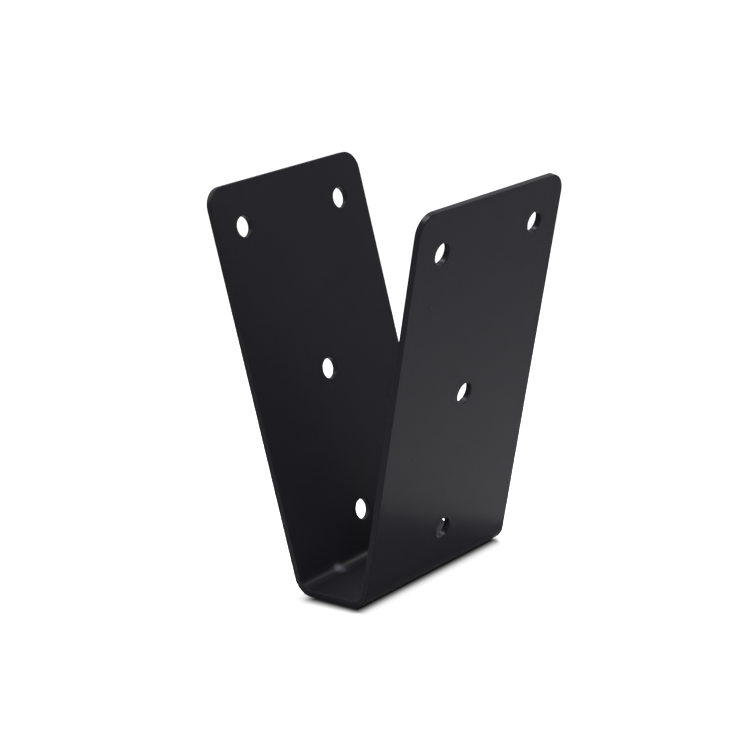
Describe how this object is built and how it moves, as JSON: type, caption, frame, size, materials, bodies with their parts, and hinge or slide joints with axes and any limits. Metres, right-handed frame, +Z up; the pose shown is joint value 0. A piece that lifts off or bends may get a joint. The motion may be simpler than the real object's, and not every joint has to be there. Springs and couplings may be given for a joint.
{
  "type": "u bracket",
  "caption": "Folded steel U bracket: a narrow web with flanges that lean outwards, rounded top corners and round screw holes through each flange, in black powder coat.",
  "frame": {"origin": "middle of the web's underside, which is the middle of the footprint", "axes": "+X across the folds towards one flange, +Y along the folds, +Z up out of the web between the flanges"},
  "size_m": [0.1178, 0.1, 0.176],
  "materials": {
    "powder_coat": "satin black powder coat with a fine texture"
  },
  "bodies": {
    "root": {"u_bracket": "powder_coat"}
  },
  "joints": []
}
